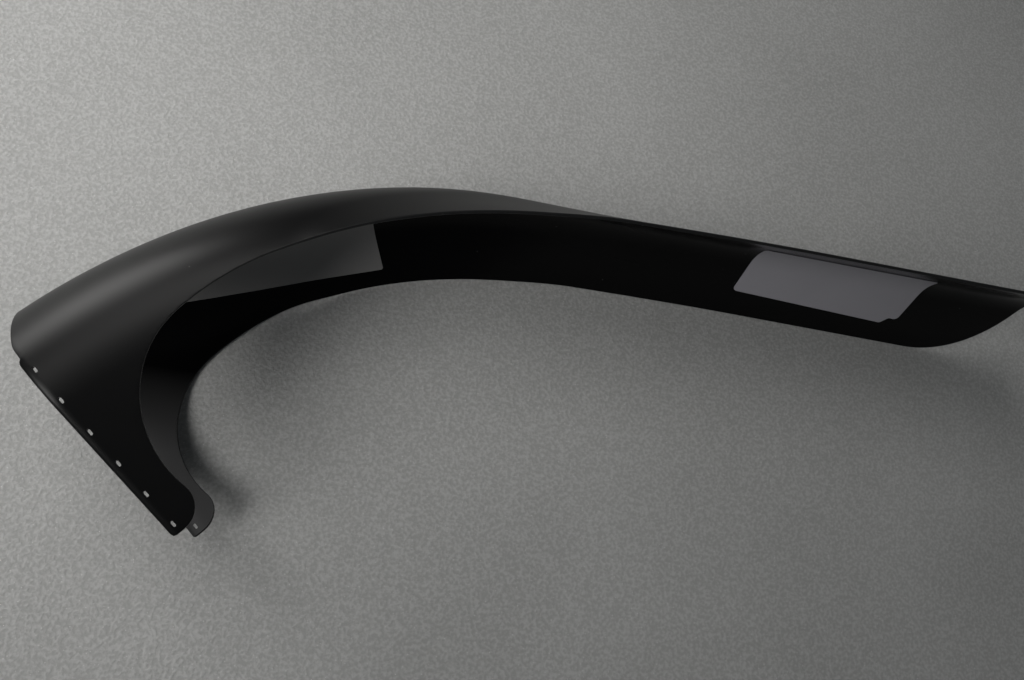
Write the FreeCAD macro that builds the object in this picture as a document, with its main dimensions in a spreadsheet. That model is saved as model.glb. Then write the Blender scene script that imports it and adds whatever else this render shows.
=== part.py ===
import FreeCAD, Part
import math
import os

Vector = FreeCAD.Vector

# Driving sizes, in millimetres and degrees. The wheel centre is the origin of the construction, the
# tail runs along +X and Z runs across the wheel.
SIZES = (
    ("wall", 2.0, "thickness of the moulded sheet"),
    ("half_width", 62.8, "half of the width over the wheel centre"),
    ("taper", 1.08, "spread of each side toward the tail"),
    ("crown_radius", 371.8, "wheel centre to the outside of the crown"),
    ("front_angle", 140.3, "angle of the crown's front end about the wheel, from the tail direction"),
    ("front_lean", 2.1, "lean of the front plane from the wheel's radius toward the tail"),
    ("tail_centre", 355.0, "wheel centre to the centre of the round tail end"),
    ("tail_round", 62.0, "that centre to the end of the tail"),
    ("front_ease", 0.3, "front end clear of the side planes"),
    ("wing_angle", 130.0, "first changing section: end of the leaning wing walls"),
    ("root_angle", 120.0, "second section: walls upright"),
    ("haunch_angle", 111.0, "third section: walls opening out"),
    ("arch_angle", 102.0, "fourth section: flanks at half slope"),
    ("neck_angle", 92.0, "fifth section: last one on the wheel arc"),
    ("tail_start", 60.0, "sixth section, on the straight tail"),
    ("tail_middle", 200.0, "seventh section, where the tail takes its final shape"),
    ("haunch_arc", 58.0, "crown arc radius of the third section"),
    ("arch_arc", 55.0, "crown arc radius of the fourth section"),
    ("neck_arc", 47.0, "crown arc radius of the fifth section"),
    ("start_arc", 42.0, "crown arc radius of the sixth section"),
    ("tail_arc", 40.0, "crown arc radius of the tail"),
    ("wing_sweep", 105.0, "half sweep of the crown arc over the leaning wings"),
    ("root_sweep", 88.0, "half sweep at the second section"),
    ("haunch_sweep", 58.0, "half sweep at the third section"),
    ("arch_sweep", 46.5, "half sweep at the fourth section"),
    ("neck_sweep", 35.5, "half sweep at the fifth section"),
    ("start_sweep", 26.5, "half sweep at the sixth section"),
    ("tail_sweep", 24.0, "half sweep of the tail, so the slope of its flanks"),
    ("tip_depth", 156.3, "crown to the end of the wings along the front plane"),
    ("tip_round", 14.0, "rounding of the inner corner of a wing tip"),
    ("hook_radius", 63.5, "radius of the wing's inner edge"),
    ("hook_centre_x", 150.362755, "crown's front end to the centre of the wing's inner edge along the tail direction"),
    ("hook_centre_y", -25.893875, "that centre above the crown's front end"),
    ("blend_radius", 172.0, "radius between the wing's inner edge and the arch edge"),
    ("arch_edge_radius", 369.6, "radius of the arch edge"),
    ("arch_centre_x", 331.362755, "crown's front end to the centre of the arch edge along the tail direction"),
    ("arch_centre_y", -264.393875, "that centre above the crown's front end"),
    ("lip_width", 1.9, "reach of the stay lip in front of the front plane"),
    ("lip_inset", 1.0, "inward lean of the stay lip over that reach"),
    ("lip_depth", 40.8, "crown to the upper end of the stay lip along the front plane"),
    ("notch_radius", 110.0, "radius of the hollow in the crown's front edge"),
    ("notch_depth", 13.0, "depth of that hollow behind the front plane"),
    ("slot_first", 49.9, "crown to the first tie slot along the front plane"),
    ("slot_pitch", 20.2, "distance between neighbouring tie slots"),
    ("slot_length", 4.8, "length of a tie slot along the stay"),
    ("slot_width", 2.0, "width of a tie slot"),
    ("slot_back", 2.2, "tie slots behind the front plane"),
    ("skin", 0.2, "thickness of the two stickers"),
    ("skin_gap", 0.15, "glue under the two stickers"),
    ("label_start", 182.0, "front end of the label along the tail"),
    ("label_length", 146.0, "length of the label"),
    ("label_upper", 9.0, "upper edge of the label past the middle plane"),
    ("label_lower", 41.0, "lower edge of the label short of the middle plane"),
    ("label_corner", 4.0, "corner radius of the label"),
    ("strip_rear", 104.4, "rear end of the grey strip about the wheel"),
    ("strip_front", 130.0, "front end of the grey strip about the wheel"),
    ("strip_skew", 1.2, "turn of the rear end's upper corner toward the front"),
    ("strip_low_rear", 338.5, "wheel centre to the lower edge of the grey strip at its rear end"),
    ("strip_low_middle", 337.0, "wheel centre to the lower edge of the grey strip halfway along"),
    ("strip_low_front", 345.0, "wheel centre to the lower edge of the grey strip at its front end"),
    ("strip_inner", 12.0, "upper edge of the grey strip from the middle plane"),
)
SLOT_COUNT = 6

# Allowances that only make cutting bodies and rough flanks longer than what they cut
CLEAR = 30.0
FLANK = 95.0

# Spacing of the sections, and the angle where the wheel arc runs into the straight tail
SECTION_STEP = 36.0
TOP_ANGLE = 90.0


def make_sheet(doc):
    """Write the driving sizes to the document's sheet."""
    sheet = doc.addObject("Spreadsheet::Sheet", "sizes")
    for row, (alias, value, meaning) in enumerate(SIZES, start=1):
        sheet.set("A%d" % row, meaning)
        sheet.set("B%d" % row, str(value))
        sheet.setAlias("B%d" % row, alias)
    doc.recompute()
    return sheet


def polar(radius, angle):
    """Point at a radius and an angle in degrees about the wheel centre."""
    turn = math.radians(angle)
    return Vector(radius * math.cos(turn), radius * math.sin(turn), 0)


def toward(start, end, reach):
    """Point at a reach from start in the direction of end."""
    return start + (end - start).normalize() * reach


def half_width_at(sheet, place):
    """Half of the width at a place along the tail direction."""
    return sheet.half_width + place * math.tan(math.radians(sheet.taper))


def front_frame(sheet):
    """Crown point of the front plane, the way out of the wheel in that plane, and the way back from it."""
    outward = polar(1, sheet.front_angle - sheet.front_lean)
    return polar(sheet.crown_radius, sheet.front_angle), outward, outward.cross(Vector(0, 0, 1))


def shape_object(doc, name, shape):
    """Document object that holds a shape drawn from the sheet."""
    item = doc.addObject("Part::Feature", name)
    item.Shape = shape
    return item


def section_wire(crown, outward, arc, sweep, outer, inner):
    """Closed wire of a sheet that follows a crown arc and two straight flanks.

    crown is the point on the moulding's outer crown, outward the direction from the wheel in the section
    plane, arc and sweep the radius and half sweep of the crown arc, outer and inner the depths of the two
    faces of the sheet below the moulding's outer face.
    """
    centre = crown - outward * arc
    across = Vector(0, 0, 1)

    def place(depth, angle, run=0.0):
        turn = math.radians(angle)
        radial = across * math.sin(turn) + outward * math.cos(turn)
        along = (across * math.cos(turn) - outward * math.sin(turn)) * (1 if angle > 0 else -1)
        return centre + radial * (arc - depth) + along * run

    edges = []
    for depth, side in ((outer, 1), (inner, -1)):
        start, end = side * sweep, -side * sweep
        edges.append(Part.makeLine(place(depth, start, FLANK), place(depth, start)))
        edges.append(Part.Arc(place(depth, start), place(depth, 0), place(depth, end)).toShape())
        edges.append(Part.makeLine(place(depth, end), place(depth, end, FLANK)))
        other = inner if depth == outer else outer
        edges.append(Part.makeLine(place(depth, end, FLANK), place(other, end, FLANK)))
    return Part.Wire(edges)


def tail_reach(sheet):
    """Wheel centre to the end of the tail."""
    return sheet.tail_centre + sheet.tail_round


def smooth(keys, place):
    """Value at a place of the smooth curve through keys of (place, value), flat at both ends."""
    slopes = [0.0]
    for (u0, v0), (u1, v1), (u2, v2) in zip(keys, keys[1:], keys[2:]):
        before, after = (v1 - v0) / (u1 - u0), (v2 - v1) / (u2 - u1)
        slopes.append(2 * before * after / (before + after) if before * after > 0 else 0.0)
    slopes.append(0.0)
    for (u0, v0), (u1, v1), s0, s1 in zip(keys, keys[1:], slopes, slopes[1:]):
        if place <= u1:
            span = u1 - u0
            t = max(0.0, (place - u0) / span)
            rise = v0 + (v1 - v0) * (3 * t ** 2 - 2 * t ** 3)
            return rise + span * (s0 * (t - 2 * t ** 2 + t ** 3) + s1 * (t ** 3 - t ** 2))
    return keys[-1][1]


def stations(sheet):
    """Crown point, outward direction, crown arc and half sweep of evenly spaced sections."""
    per_degree = math.radians(sheet.crown_radius)
    top = (sheet.front_angle - TOP_ANGLE) * per_degree
    wheel = sheet.crown_radius - sheet.half_width
    front_arc = half_width_at(sheet, polar(wheel, sheet.front_angle).x) - sheet.front_ease
    wing_arc = half_width_at(sheet, polar(wheel, sheet.wing_angle).x)
    root_arc = half_width_at(sheet, polar(wheel, sheet.root_angle).x)
    rows = [
        (sheet.front_angle, front_arc, sheet.wing_sweep),
        (sheet.wing_angle, wing_arc, sheet.wing_sweep),
        (sheet.root_angle, root_arc, sheet.root_sweep),
        (sheet.haunch_angle, sheet.haunch_arc, sheet.haunch_sweep),
        (sheet.arch_angle, sheet.arch_arc, sheet.arch_sweep),
        (sheet.neck_angle, sheet.neck_arc, sheet.neck_sweep),
    ]
    keys = [((sheet.front_angle - angle) * per_degree, arc, sweep) for angle, arc, sweep in rows]
    keys.append((top + sheet.tail_start, sheet.start_arc, sheet.start_sweep))
    keys.append((top + sheet.tail_middle, sheet.tail_arc, sheet.tail_sweep))
    arcs = [(place, arc) for place, arc, sweep in keys]
    sweeps = [(place, sweep) for place, arc, sweep in keys]

    length = top + tail_reach(sheet) + CLEAR
    count = math.ceil(length / SECTION_STEP)
    found = []
    for number in range(count + 1):
        place = length * number / count
        if place < top:
            angle = sheet.front_angle - place / per_degree
            crown = polar(sheet.crown_radius, angle)
        else:
            angle = TOP_ANGLE
            crown = Vector(place - top, sheet.crown_radius, 0)
        outward = polar(1, angle) if number else front_frame(sheet)[1]
        found.append((crown, outward, smooth(arcs, place), smooth(sweeps, place)))
    return found


def sheet_loft(doc, sheet, name, outer, inner):
    """Loft of a sheet between two depths below the moulding's outer face."""
    wires = []
    for number, station in enumerate(stations(sheet), start=1):
        wire = section_wire(*station, outer, inner)
        wires.append(shape_object(doc, "%s_section_%d" % (name, number), wire))
    loft = doc.addObject("Part::Loft", name)
    loft.Sections = wires
    loft.Solid = True
    return loft


def lip_loft(doc, sheet):
    """Stay lip: the front section carried forward and leaned inward."""
    crown, outward, arc, sweep = stations(sheet)[0]
    forward = Vector(0, 0, 1).cross(outward)
    reach = forward * sheet.lip_width - outward * sheet.lip_inset
    root = section_wire(crown, outward, arc, sweep, 0, sheet.wall)
    edge = section_wire(crown + reach, outward, arc - sheet.lip_inset, sweep, 0, sheet.wall)
    lip = doc.addObject("Part::Loft", "lip")
    lip.Sections = [shape_object(doc, "lip_root", root), shape_object(doc, "lip_edge", edge)]
    lip.Solid = True
    lip.Ruled = True
    return lip


def blend_centre(hook, hook_radius, arch, arch_radius, blend):
    """Centre of the arc that leaves the wing's inner edge and runs into the arch edge."""
    near, far = blend - hook_radius, arch_radius - blend
    span = arch - hook
    along = (near ** 2 - far ** 2 + span.Length ** 2) / (2 * span.Length)
    rise = math.sqrt(near ** 2 - along ** 2)
    direction = Vector(span).normalize()
    return hook + direction * along + Vector(direction.y, -direction.x, 0) * -rise


def side_outline(sheet):
    """Face that the moulding keeps in side view: lips, wing tip, wing edge and arch edge."""
    crown, outward, back = front_frame(sheet)
    hook = crown + Vector(sheet.hook_centre_x, sheet.hook_centre_y, 0)
    arch = crown + Vector(sheet.arch_centre_x, sheet.arch_centre_y, 0)
    blend = blend_centre(hook, sheet.hook_radius, arch, sheet.arch_edge_radius, sheet.blend_radius)
    hook_end = toward(blend, hook, sheet.blend_radius)
    blend_end = toward(arch, blend, sheet.arch_edge_radius)

    # The rounding of the tip touches the tip line and the wing's inner edge from outside
    tip_line = crown - outward * sheet.tip_depth
    gap = sheet.hook_radius + sheet.tip_round
    rise = (hook - tip_line).dot(outward) - sheet.tip_round
    behind = (hook - tip_line).dot(back) - math.sqrt(gap ** 2 - rise ** 2)
    tip = tip_line + outward * sheet.tip_round + back * behind
    tip_low = tip - outward * sheet.tip_round
    tip_side = toward(hook, tip, sheet.hook_radius)
    tip_mid = toward(tip, (tip_low + tip_side) * 0.5, sheet.tip_round)
    hook_mid = hook + (hook - (tip_side + hook_end) * 0.5).normalize() * -sheet.hook_radius
    blend_mid = toward(blend, (hook_end + blend_end) * 0.5, sheet.blend_radius)

    # Where the flanks cross the width on the fourth section the tail's own edge takes over
    turn = math.radians(sheet.arch_sweep)
    width = half_width_at(sheet, polar(sheet.crown_radius, sheet.arch_angle).x)
    drop = sheet.arch_arc * (1 - math.cos(turn))
    drop += (width - sheet.arch_arc * math.sin(turn)) * math.tan(turn)
    low = polar(sheet.crown_radius - drop, sheet.arch_angle).y
    arch_end = arch + Vector(-math.sqrt(sheet.arch_edge_radius ** 2 - (low - arch.y) ** 2), low - arch.y, 0)
    arch_mid = toward(arch, (blend_end + arch_end) * 0.5, sheet.arch_edge_radius)

    far_x = tail_reach(sheet) + CLEAR
    far_y = sheet.crown_radius + CLEAR
    front = back * -sheet.lip_width
    above = crown + outward * CLEAR
    lip_end = crown - outward * sheet.lip_depth
    corners = (
        arch_end, Vector(far_x, low, 0), Vector(far_x, far_y, 0), Vector(above.x, far_y, 0), above,
        lip_end, lip_end + front, tip_line + front, tip_low,
    )
    edges = [Part.makeLine(a, b) for a, b in zip(corners, corners[1:])]
    edges.append(Part.Arc(tip_low, tip_mid, tip_side).toShape())
    edges.append(Part.Arc(tip_side, hook_mid, hook_end).toShape())
    edges.append(Part.Arc(hook_end, blend_mid, blend_end).toShape())
    edges.append(Part.Arc(blend_end, arch_mid, arch_end).toShape())
    return Part.Face(Part.Wire(edges))


def slot_faces(sheet):
    """Round-ended tie slots along the front plane, in side view."""
    crown, outward, back = front_frame(sheet)
    radius = sheet.slot_width / 2
    straight = outward * (sheet.slot_length / 2 - radius)
    side = back * radius
    faces = []
    for number in range(SLOT_COUNT):
        middle = crown - outward * (sheet.slot_first + number * sheet.slot_pitch) + back * sheet.slot_back
        high, low = middle + straight, middle - straight
        edges = [
            Part.makeLine(low + side, high + side),
            Part.Arc(high + side, high + outward * radius, high - side).toShape(),
            Part.makeLine(high - side, low - side),
            Part.Arc(low - side, low - outward * radius, low + side).toShape(),
        ]
        faces.append(Part.Face(Part.Wire(edges)))
    return Part.makeCompound(faces)


def across_prism(doc, name, face):
    """Extrusion of a side view face through the whole width."""
    prism = doc.addObject("Part::Extrusion", name)
    prism.Base = face
    prism.DirMode = "Custom"
    prism.Dir = Vector(0, 0, 1)
    prism.Symmetric = True
    prism.Solid = True
    prism.setExpression("LengthFwd", "2 * sizes.half_width + %g" % (2 * CLEAR))
    return prism


def plan_outline(sheet):
    """Face that the moulding keeps in plan: spreading sides and a round tail end."""
    front = -sheet.crown_radius
    front_half, tail_half = half_width_at(sheet, front), half_width_at(sheet, sheet.tail_centre)
    left, right = Vector(sheet.tail_centre, 0, -tail_half), Vector(sheet.tail_centre, 0, tail_half)
    edges = [
        Part.makeLine(Vector(front, 0, -front_half), left),
        Part.Arc(left, Vector(tail_reach(sheet), 0, 0), right).toShape(),
        Part.makeLine(right, Vector(front, 0, front_half)),
        Part.makeLine(Vector(front, 0, front_half), Vector(front, 0, -front_half)),
    ]
    return Part.Face(Part.Wire(edges))


def upright_prism(doc, name, face):
    """Extrusion of a plan face from the wheel centre to above the crown."""
    prism = doc.addObject("Part::Extrusion", name)
    prism.Base = face
    prism.DirMode = "Custom"
    prism.Dir = Vector(0, 1, 0)
    prism.Solid = True
    prism.setExpression("LengthFwd", "sizes.crown_radius + %g" % CLEAR)
    return prism


def front_notch(doc, sheet):
    """Round body that hollows the crown's front edge."""
    crown, outward, back = front_frame(sheet)
    notch = doc.addObject("Part::Cylinder", "notch")
    notch.setExpression("Radius", "sizes.notch_radius")
    notch.setExpression("Height", "sizes.lip_depth + %g" % CLEAR)
    foot = crown - outward * sheet.lip_depth + back * (sheet.notch_depth - sheet.notch_radius)
    notch.Placement = FreeCAD.Placement(foot, FreeCAD.Rotation(Vector(0, 0, 1), outward))
    return notch


def mudguard(doc, sheet):
    """The moulding: sheet and lips, trimmed in side view and in plan, notched and slotted."""
    blank = doc.addObject("Part::Fuse", "blank")
    blank.Base = sheet_loft(doc, sheet, "sheet", 0, sheet.wall)
    blank.Tool = lip_loft(doc, sheet)
    side = across_prism(doc, "side", shape_object(doc, "side_outline", side_outline(sheet)))
    trimmed = doc.addObject("Part::MultiCommon", "trimmed")
    plan = upright_prism(doc, "plan", shape_object(doc, "plan_outline", plan_outline(sheet)))
    trimmed.Shapes = [blank, side, plan]
    notched = doc.addObject("Part::Cut", "notched")
    notched.Base = trimmed
    notched.Tool = front_notch(doc, sheet)
    body = doc.addObject("Part::Cut", "mudguard")
    body.Base = notched
    body.Tool = across_prism(doc, "slots", shape_object(doc, "slot_outline", slot_faces(sheet)))
    return body


def label_outline(sheet):
    """Rounded rectangle of the label in plan, mostly on the lower flank."""
    x_low, x_high = sheet.label_start, sheet.label_start + sheet.label_length
    z_low, z_high = -sheet.label_lower, sheet.label_upper
    corner = sheet.label_corner
    cut = corner * (1 - math.sqrt(0.5))
    spots = ((x_low, z_low, 1, 1), (x_high, z_low, -1, 1), (x_high, z_high, -1, -1), (x_low, z_high, 1, -1))
    edges = []
    last = None
    for number, (x, z, right, up) in enumerate(spots):
        along_x = Vector(x + right * corner, 0, z)
        along_z = Vector(x, 0, z + up * corner)
        start, end = (along_z, along_x) if number % 2 == 0 else (along_x, along_z)
        if last is not None:
            edges.append(Part.makeLine(last, start))
        edges.append(Part.Arc(start, Vector(x + right * cut, 0, z + up * cut), end).toShape())
        last = end
    edges.append(Part.makeLine(last, edges[0].Vertexes[0].Point))
    return Part.Face(Part.Wire(edges))


def strip_outline(sheet):
    """Grey strip in side view: a band below the crown with a skewed rear end."""
    front, rear = sheet.strip_front, sheet.strip_rear
    top = rear + sheet.strip_skew
    low_rear, low_front, high = sheet.strip_low_rear, sheet.strip_low_front, sheet.crown_radius
    low_middle = polar(sheet.strip_low_middle, (front + rear) / 2)
    edges = [
        Part.Arc(polar(low_front, front), low_middle, polar(low_rear, rear)).toShape(),
        Part.makeLine(polar(low_rear, rear), polar(high, top)),
        Part.Arc(polar(high, top), polar(high, (front + top) / 2), polar(high, front)).toShape(),
        Part.makeLine(polar(high, front), polar(low_front, front)),
    ]
    return Part.Face(Part.Wire(edges))


def sticker(doc, name, liner, face, direction, length):
    """Piece of the skin that lines the moulding, cut out by an extruded outline."""
    prism = doc.addObject("Part::Extrusion", name + "_prism")
    prism.Base = face
    prism.DirMode = "Custom"
    prism.Dir = direction
    prism.Solid = True
    prism.setExpression("LengthFwd", length)
    piece = doc.addObject("Part::Common", name)
    piece.Base = liner
    piece.Tool = prism
    return piece


def check(doc):
    """Stop when an object failed or holds an empty or invalid shape."""
    for item in doc.Objects:
        if "Invalid" in item.State or "Error" in item.State:
            raise RuntimeError("%s did not recompute: %s" % (item.Name, item.State))
        if hasattr(item, "Shape") and (item.Shape.isNull() or not item.Shape.isValid()):
            raise RuntimeError("%s has no valid shape" % item.Name)


def main():
    doc = FreeCAD.newDocument("mudguard")
    sheet = make_sheet(doc)
    body = mudguard(doc, sheet)
    seat = sheet.wall + sheet.skin_gap
    liner = sheet_loft(doc, sheet, "liner", seat, seat + sheet.skin)
    label_face = shape_object(doc, "label_outline", label_outline(sheet))
    label = sticker(doc, "label", liner, label_face, Vector(0, 1, 0), "sizes.crown_radius")
    strip_face = shape_object(doc, "strip_outline", strip_outline(sheet))
    strip_face.Placement = FreeCAD.Placement(Vector(0, 0, -sheet.half_width), FreeCAD.Rotation())
    strip = sticker(doc, "grey_strip", liner, strip_face, Vector(0, 0, 1),
                    "sizes.half_width - sizes.strip_inner")
    doc.recompute()

    # The row frame: turned by the taper so that one side lies flat, moved to the middle of the footprint
    lie = FreeCAD.Rotation(Vector(0, 1, 0), -sheet.taper)
    lying = body.Shape.copy()
    lying.Placement = FreeCAD.Placement(Vector(), lie)
    box = lying.optimalBoundingBox(False, False)
    shift = Vector(-box.Center.x, -box.Center.y, -box.ZMin)
    nodes = (("mudguard", body), ("label", label), ("grey_strip", strip))
    for name, item in nodes:
        item.Label = name
        item.Placement = FreeCAD.Placement(shift, lie)
    doc.recompute()
    check(doc)

    os.makedirs("parts", exist_ok=True)
    for name, item in nodes:
        if len(item.Shape.Solids) != 1:
            raise RuntimeError("%s is not one solid" % name)
        item.Shape.exportStep("parts/%s.step" % name)
        box = item.Shape.optimalBoundingBox(False, False)
        print(name, "volume", round(item.Shape.Volume, 1), "box", [round(v, 3) for v in (
            box.XMin, box.YMin, box.ZMin, box.XMax, box.YMax, box.ZMax)])
    print("shift", [round(v, 3) for v in shift])


main()
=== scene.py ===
"""Dressed scene of a one-piece moulded bicycle mudguard that lies on its side on a pale table."""

import logging
import math
from dataclasses import dataclass
from enum import IntEnum
from typing import Any, Callable, Optional, Sequence, Union

import bmesh
import bpy
import numpy as np
from mathutils import Matrix, Vector

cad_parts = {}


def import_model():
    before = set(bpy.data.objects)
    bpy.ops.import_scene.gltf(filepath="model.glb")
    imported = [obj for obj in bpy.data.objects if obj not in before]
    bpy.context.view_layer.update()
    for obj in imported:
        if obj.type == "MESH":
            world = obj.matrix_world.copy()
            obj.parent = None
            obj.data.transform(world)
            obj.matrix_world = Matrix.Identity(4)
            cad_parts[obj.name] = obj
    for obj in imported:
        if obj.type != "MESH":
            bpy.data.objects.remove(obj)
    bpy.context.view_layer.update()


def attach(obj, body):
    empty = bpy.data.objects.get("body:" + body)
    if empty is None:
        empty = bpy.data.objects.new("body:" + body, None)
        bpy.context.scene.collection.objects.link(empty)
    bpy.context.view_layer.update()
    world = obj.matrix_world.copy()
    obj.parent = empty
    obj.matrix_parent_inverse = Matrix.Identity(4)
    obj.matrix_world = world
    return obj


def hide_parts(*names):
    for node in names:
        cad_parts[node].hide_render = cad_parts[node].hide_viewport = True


LOG = logging.getLogger("mudguard")
MM = 0.001
BODY = "root"

Colour = tuple[float, float, float]
Value = Union[float, int, str, Sequence[float], bpy.types.NodeSocket, bpy.types.ID]


class Face(IntEnum):
    """Which side of the moulded sheet a face belongs to."""

    OUTSIDE = 0
    INSIDE = 1
    RIM = 2


class Sketch:
    """Adds linked nodes to one node tree."""

    def __init__(self, tree: bpy.types.NodeTree) -> None:
        """Keep the tree that nodes are added to."""
        self.tree = tree

    def feed(self, socket: bpy.types.NodeSocket, value: Value) -> None:
        """Link a socket to another one, or set its own value.

        Args:
            socket: The input socket.
            value: An output socket to link, or the value to set.
        """
        if isinstance(value, bpy.types.NodeSocket):
            self.tree.links.new(value, socket)
        else:
            socket.default_value = value

    def add(self, kind: str, inputs: Optional[dict[Any, Value]] = None, **settings: Any) -> bpy.types.Node:
        """Add a node.

        Args:
            kind: The node's type name.
            inputs: Values or sockets by input name or number.
            settings: The node's own properties.

        Returns:
            The new node.
        """
        node = self.tree.nodes.new(kind)
        for name, value in settings.items():
            setattr(node, name, value)
        for key, value in (inputs or {}).items():
            self.feed(node.inputs[key], value)
        return node

    def math(
        self, operation: str, first: Value, second: Value = 0.0, third: Value = 0.0
    ) -> bpy.types.NodeSocket:
        """Add a Math node.

        Args:
            operation: The node's operation.
            first: First value.
            second: Second value, where the operation has one.
            third: Third value, where the operation has one.

        Returns:
            The result's socket.
        """
        node = self.add("ShaderNodeMath", {0: first, 1: second, 2: third}, operation=operation)
        return node.outputs[0]

    def remap(
        self, value: Value, low: float, high: float, to_low: Value, to_high: Value
    ) -> bpy.types.NodeSocket:
        """Map a range of a value to another one, clamped at both ends.

        Args:
            value: The value to map.
            low: Where the range starts.
            high: Where the range ends.
            to_low: What the start becomes.
            to_high: What the end becomes.

        Returns:
            The mapped value's socket.
        """
        inputs = {"Value": value, "From Min": low, "From Max": high, "To Min": to_low, "To Max": to_high}
        return self.add("ShaderNodeMapRange", inputs).outputs[0]

    def mix_colour(self, share: Value, first: Value, second: Value) -> bpy.types.NodeSocket:
        """Mix two colours.

        Args:
            share: How much of the second colour shows.
            first: First colour or its socket.
            second: Second colour or its socket.

        Returns:
            The mixed colour's socket.
        """
        node = self.add("ShaderNodeMix", data_type="RGBA")
        self.feed(node.inputs["Factor"], share)
        for number, colour in ((6, first), (7, second)):
            self.feed(node.inputs[number], (*colour, 1.0) if isinstance(colour, tuple) else colour)
        return node.outputs[2]


@dataclass(frozen=True)
class SectionKey:
    """One key of the section law."""

    angle: float
    arc: float
    sweep: float


@dataclass(frozen=True)
class Form:
    """Sizes of the moulded sheet about the wheel centre, in millimetres and degrees."""

    wall: float = 2.0
    half_width: float = 62.8
    taper: float = 1.08
    crown_radius: float = 371.8
    front_angle: float = 140.3
    front_lean: float = 2.1
    front_ease: float = 0.3
    lean_run: float = 36.0
    tail_centre: float = 355.0
    tail_round: float = 62.0
    wing_angle: float = 130.0
    root_angle: float = 120.0
    wing_sweep: float = 105.0
    root_sweep: float = 88.0
    haunch: SectionKey = SectionKey(111.0, 58.0, 58.0)
    arch: SectionKey = SectionKey(102.0, 55.0, 46.5)
    neck: SectionKey = SectionKey(92.0, 47.0, 35.5)
    tail_start: float = 60.0
    start_arc: float = 42.0
    start_sweep: float = 26.5
    tail_middle: float = 200.0
    tail_arc: float = 40.0
    tail_sweep: float = 24.0
    lip_width: float = 1.9
    lip_inset: float = 1.0
    top_angle: float = 90.0
    row_shift: tuple[float, float, float] = (-69.532, -251.899, 62.789)

    @property
    def wheel_run(self) -> float:
        """Length of the crown from its front end to the straight tail."""
        return math.radians(self.front_angle - self.top_angle) * self.crown_radius

    @property
    def tail_reach(self) -> float:
        """Wheel centre to the end of the tail."""
        return self.tail_centre + self.tail_round

    @property
    def row_matrix(self) -> Matrix:
        """Placement that lays the mudguard on its side in the row frame, in metres."""
        lie = Matrix.Rotation(math.radians(-self.taper), 4, "Y")
        return Matrix.Translation(Vector(self.row_shift) * MM) @ lie

    def half_width_at(self, place: float) -> float:
        """Half of the width at a place along the tail direction."""
        return self.half_width + place * math.tan(math.radians(self.taper))

    def crown_place(self, angle: float) -> float:
        """Length of the crown from its front end to an angle about the wheel."""
        return math.radians(self.front_angle - angle) * self.crown_radius

    def keys(self) -> np.ndarray:
        """Rows of place, crown arc radius and half sweep in radians."""
        wheel = self.crown_radius - self.half_width

        def upright_arc(angle: float) -> float:
            """Crown arc radius that spans the full width at an angle about the wheel."""
            return self.half_width_at(polar(wheel, angle)[0])

        rows = [
            (0.0, upright_arc(self.front_angle) - self.front_ease, self.wing_sweep),
            (self.crown_place(self.wing_angle), upright_arc(self.wing_angle), self.wing_sweep),
            (self.crown_place(self.root_angle), upright_arc(self.root_angle), self.root_sweep),
        ]
        for key in (self.haunch, self.arch, self.neck):
            rows.append((self.crown_place(key.angle), key.arc, key.sweep))
        rows.append((self.wheel_run + self.tail_start, self.start_arc, self.start_sweep))
        rows.append((self.wheel_run + self.tail_middle, self.tail_arc, self.tail_sweep))
        table = np.array(rows)
        table[:, 2] = np.radians(table[:, 2])
        return table

    def law(self, places: np.ndarray) -> tuple[np.ndarray, np.ndarray, np.ndarray]:
        """Section law at places along the crown.

        Args:
            places: Lengths along the crown from its front end.

        Returns:
            Crown arc radius, half sweep and lean of the section plane at each place.
        """
        table = self.keys()
        arcs = smooth(table[:, 0], table[:, 1], places)
        sweeps = smooth(table[:, 0], table[:, 2], places)
        share = np.clip(places / self.lean_run, 0.0, 1.0)
        leans = math.radians(self.front_lean) * (1.0 - share ** 2 * (3.0 - 2.0 * share))
        return arcs, sweeps, leans


def polar(radius: float, angle: float) -> np.ndarray:
    """Side view point at a radius and an angle in degrees about the wheel centre."""
    turn = math.radians(angle)
    return radius * np.array((math.cos(turn), math.sin(turn)))


def smooth(places: np.ndarray, values: np.ndarray, wanted: np.ndarray) -> np.ndarray:
    """Smooth curve through keys that never overshoots them.

    Args:
        places: Where the keys are, in rising order.
        values: The keys' values.
        wanted: Where the curve is read.

    Returns:
        The curve's value at each wanted place.
    """
    spans = np.diff(places)
    rises = np.diff(values) / spans
    slopes = np.zeros(len(places))
    same_way = rises[:-1] * rises[1:] > 0
    inner = 2 * rises[:-1] * rises[1:] / np.where(same_way, rises[:-1] + rises[1:], 1.0)
    slopes[1:-1] = np.where(same_way, inner, 0.0)
    at = np.clip(wanted, places[0], places[-1])
    left = np.clip(np.searchsorted(places, at) - 1, 0, len(spans) - 1)
    t = (at - places[left]) / spans[left]
    level = values[left] + (values[left + 1] - values[left]) * (3 * t ** 2 - 2 * t ** 3)
    bend = slopes[left] * (t - 2 * t ** 2 + t ** 3) + slopes[left + 1] * (t ** 3 - t ** 2)
    return level + spans[left] * bend


def arc_points(centre: np.ndarray, start: np.ndarray, end: np.ndarray, step: float = 1.5) -> np.ndarray:
    """Points along the shorter arc from start to end, without the start.

    Args:
        centre: Centre of the arc.
        start: Where the arc starts.
        end: Where the arc ends.
        step: Distance between points.

    Returns:
        One point a row.
    """
    first = math.atan2(*(start - centre)[::-1])
    last = math.atan2(*(end - centre)[::-1])
    sweep = (last - first + math.pi) % (2 * math.pi) - math.pi
    radius = float(np.linalg.norm(start - centre))
    count = max(2, math.ceil(abs(sweep) * radius / step))
    angles = first + sweep * np.arange(1, count + 1) / count
    return centre + radius * np.column_stack((np.cos(angles), np.sin(angles)))


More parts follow.
